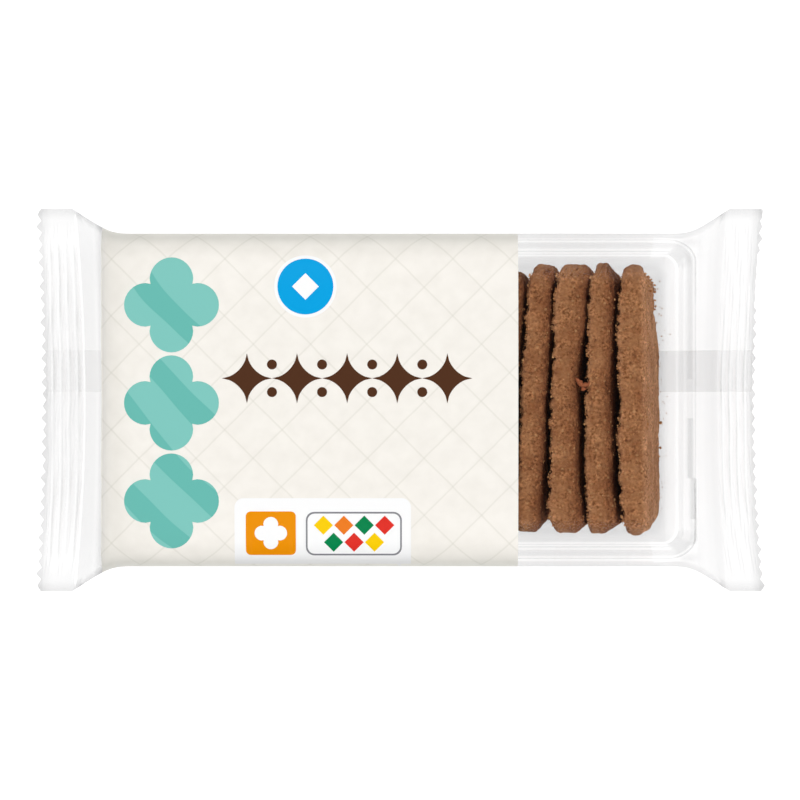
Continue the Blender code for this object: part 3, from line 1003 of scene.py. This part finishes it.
# Printed field. Cream ink on the film's inner face, opaque, with a lattice of
# thin beige diagonals and a faint paper mottle.
CREAM = (0.91, 0.876, 0.818, 1)
CREAM_MOTTLE = (0.856, 0.822, 0.762, 1)
LATTICE_LINE = (0.682, 0.66, 0.584, 1)
LATTICE_PITCH = 9.66 * mm
LATTICE_CROSSING = (12.4 * mm, 20.2 * mm)
LATTICE_WIDTH = 0.032  # half of a line, as a part of the pitch
LATTICE_CENTRE = 0.008  # within this it is at its darkest
LATTICE_STRENGTH = 0.38
CREAM_GLOSS = 0.25
INK_ROUGHNESS = 0.4
tree = film_print.node_tree
mottle = add_noise(tree, 260, 4)[0]
colour = add_ramp(tree, mottle, (0.35, CREAM), (0.8, CREAM_MOTTLE))
web = add_node(tree, "Attribute", attribute_name="web").outputs["Vector"]
wobble = add_noise(tree, 120, 3)[0]
for slant in (1, -1):
    step = 1 / (math.sqrt(2) * LATTICE_PITCH)
    way = {0: web, 1: (step, slant * step, 0)}
    across = add_node(tree, "VectorMath", way, operation="DOT_PRODUCT")
    shift = (LATTICE_CROSSING[0] + slant * LATTICE_CROSSING[1]) * step
    shaky = add_math(tree, "MULTIPLY_ADD", wobble, 0.05, across.outputs["Value"])
    cell = add_math(tree, "FRACT", add_math(tree, "SUBTRACT", shaky, shift + 0.525))
    distance = add_math(tree, "ABSOLUTE", add_math(tree, "SUBTRACT", cell, 0.5))
    line = add_range(tree, distance, LATTICE_CENTRE, LATTICE_WIDTH, LATTICE_STRENGTH, 0.0)
    colour = add_mix(tree, line, colour, LATTICE_LINE)
# Painted shade: the cream darkens towards the folds and the print's left end.
darkened = read_points(tree, "edge")
colour = add_mix(tree, darkened, colour, (0.735, 0.748, 0.735, 1), "MULTIPLY")
show(tree, add_surface(tree, colour, INK_ROUGHNESS, CREAM_GLOSS))

# Printed shapes. Flat inks on the front panel: three teal rosettes, a blue
# disc, a row of brown stars, and a white label with an orange and a grey box.
INK_LIFT = 0.05 * mm
SHAPE_GLOSS = 0.06
CUT_STEP = 0.6 * mm
INK_SHADE = 0.7  # how far painted shade darkens an ink at the folds
CORNER_POINTS = 6
LABEL_FOOT = -39.9  # where the label runs over the lower fold
DISC = (-22.9, 27.2)


def lay_on_film(name, ink, level, outlines):
    """Closed outlines (mm) on the front panel, filled, cut fine and laid on the film."""
    mesh = bpy.data.meshes.new(name)
    bm = bmesh.new()
    for outline in outlines:
        verts = [bm.verts.new((px * mm, py * mm, 0)) for px, py in outline]
        bm.faces.new(verts).normal_update()
    bmesh.ops.triangulate(bm, faces=bm.faces)
    for axis, way in enumerate(((1, 0, 0), (0, 1, 0))):
        values = [vert.co[axis] for vert in bm.verts]
        cut = min(values) + CUT_STEP
        while cut < max(values):
            spot = [cut * part for part in way]
            everything = [*bm.verts, *bm.edges, *bm.faces]
            bmesh.ops.bisect_plane(bm, geom=everything, plane_co=spot, plane_no=way)
            cut += CUT_STEP
    # Painted shade for each point, by how near it lies to a fold.
    shade = []
    for vert in bm.verts:
        half_width = float(top_half_width(abs(vert.co.x)))
        from_fold = (half_width - abs(vert.co.y)) / mm
        shade.append(np.interp(from_fold, *np.array(FOLD_SHADE).T))
        height = top_height(np.float64(vert.co.x), vert.co.y / half_width)
        vert.co.z = float(height) + INK_LIFT * level
    bmesh.ops.recalc_face_normals(bm, faces=bm.faces)
    if sum(face.normal.z for face in bm.faces) < 0:
        bmesh.ops.reverse_faces(bm, faces=bm.faces)
    bm.to_mesh(mesh)
    bm.free()
    paint_points(mesh, edge=shade)
    mesh.shade_smooth()
    mesh.materials.append(ink)
    piece = bpy.data.objects.new(name, mesh)
    scene.collection.objects.link(piece)
    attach(piece, "root")


def flat_ink(name, colour):
    """One ink, darkened by painted shade towards the folds as the printed field is."""
    material, tree = new_material(name)
    darker = [INK_SHADE * part for part in colour]
    shaded = add_mix(tree, read_points(tree, "edge"), (*colour, 1), (*darker, 1))
    show(tree, add_surface(tree, shaded, INK_ROUGHNESS, SHAPE_GLOSS))
    return material


def ring_outline(centre, radius, points, shape=lambda turn: 1.0):
    turns = [2 * math.pi * i / points for i in range(points)]
    return [
        (centre[0] + radius * shape(t) * math.cos(t), centre[1] + radius * shape(t) * math.sin(t))
        for t in turns
    ]


def rounded_box(x0, x1, y0, y1, radius):
    outline = []
    corners = ((x1 - radius, y1 - radius), (x0 + radius, y1 - radius))
    corners += ((x0 + radius, y0 + radius), (x1 - radius, y0 + radius))
    for number, (cx, cy) in enumerate(corners):
        for i in range(CORNER_POINTS + 1):
            turn = math.pi / 2 * (number + i / CORNER_POINTS)
            outline.append((cx + radius * math.cos(turn), cy + radius * math.sin(turn)))
    return outline


def petals(turn):
    return 0.62 + 0.38 * abs(math.cos(2 * turn)) ** 0.8


def star(turn):
    return (abs(math.cos(turn)) ** 0.62 + abs(math.sin(turn)) ** 0.62) ** (-1 / 0.62)


teal, tree = new_material("teal_ink")
teal_bands = {"Vector": object_place(tree), "Scale": 34, "Distortion": 1.6, "Detail": 1}
teal_wave = add_node(tree, "TexWave", teal_bands, bands_direction="DIAGONAL")
pale_teal, deep_teal = (0.212, 0.563, 0.507, 1), (0.138, 0.484, 0.428, 1)
teal_colour = add_ramp(tree, teal_wave.outputs[0], (0.62, pale_teal), (0.66, deep_teal))
show(tree, add_surface(tree, teal_colour, INK_ROUGHNESS, SHAPE_GLOSS))
ink_white = flat_ink("white_ink", (0.945, 0.945, 0.945))
ink_blue = flat_ink("blue_ink", (0.0, 0.356, 0.75))
ink_brown = flat_ink("brown_ink", (0.08, 0.029, 0.012))
ink_orange = flat_ink("orange_ink", (0.83, 0.28, 0.0))
ink_grey = flat_ink("grey_ink", (0.234, 0.234, 0.254))
rosettes = [ring_outline((-55.0, cy), 11.4, 72, petals) for cy in (22.8, -0.7, -24.2)]
stars = [ring_outline((cx, 5.2), 6.0, 64, star) for cx in (-36.9, -24.9, -12.9, -0.9, 11.1)]
dots = [ring_outline((cx, cy), 1.2, 20) for cx in (-30.9, -18.9, -6.9, 5.1) for cy in (1.9, 8.5)]
label = [(px, max(py, LABEL_FOOT)) for px, py in rounded_box(-39.9, 2.4, -42.8, -23.5, 2.2)]
# Each shape's name, ink, level above the film and outlines.
SHAPES = (
    ("teal_rosettes", teal, 1, rosettes),
    ("disc_rim", ink_white, 1, [ring_outline(DISC, 7.5, 48)]),
    ("disc", ink_blue, 2, [ring_outline(DISC, 6.7, 48)]),
    ("disc_lozenge", ink_white, 3, [ring_outline(DISC, 3.2, 4)]),
    ("brown_stars", ink_brown, 1, stars + dots),
    ("white_label", ink_white, 1, [label]),
    ("orange_box", ink_orange, 2, [rounded_box(-37.2, -25.2, -37.2, -26.7, 1.2)]),
    ("orange_box_flower", ink_white, 3, [ring_outline((-31.2, -31.9), 3.9, 48, petals)]),
    ("grey_box", ink_grey, 2, [rounded_box(-22.8, 0.2, -37.3, -26.8, 2.0)]),
    ("grey_box_field", ink_white, 3, [rounded_box(-22.4, -0.2, -36.9, -27.2, 1.7)]),
)
for shape in SHAPES:
    lay_on_film(*shape)
# Diamonds in two rows on the label, the lower one shifted and a diamond short.
DIAMOND_COLOURS = ((0.94, 0.61, 0.0), (0.83, 0.20, 0.015), (0.0, 0.225, 0.07), (0.73, 0.03, 0.02))
for number, colour in enumerate(DIAMOND_COLOURS):
    lower_number = (number + 2) % 4
    rows = [ring_outline((-18.6 + 4.9 * number, -30.0), 2.3, 4)]
    if lower_number < 3:
        rows.append(ring_outline((-16.15 + 4.9 * lower_number, -34.1), 2.3, 4))
    diamond_ink = flat_ink(f"label_ink_{number + 1}", colour)
    lay_on_film(f"label_diamonds_{number + 1}", diamond_ink, 4, rows)
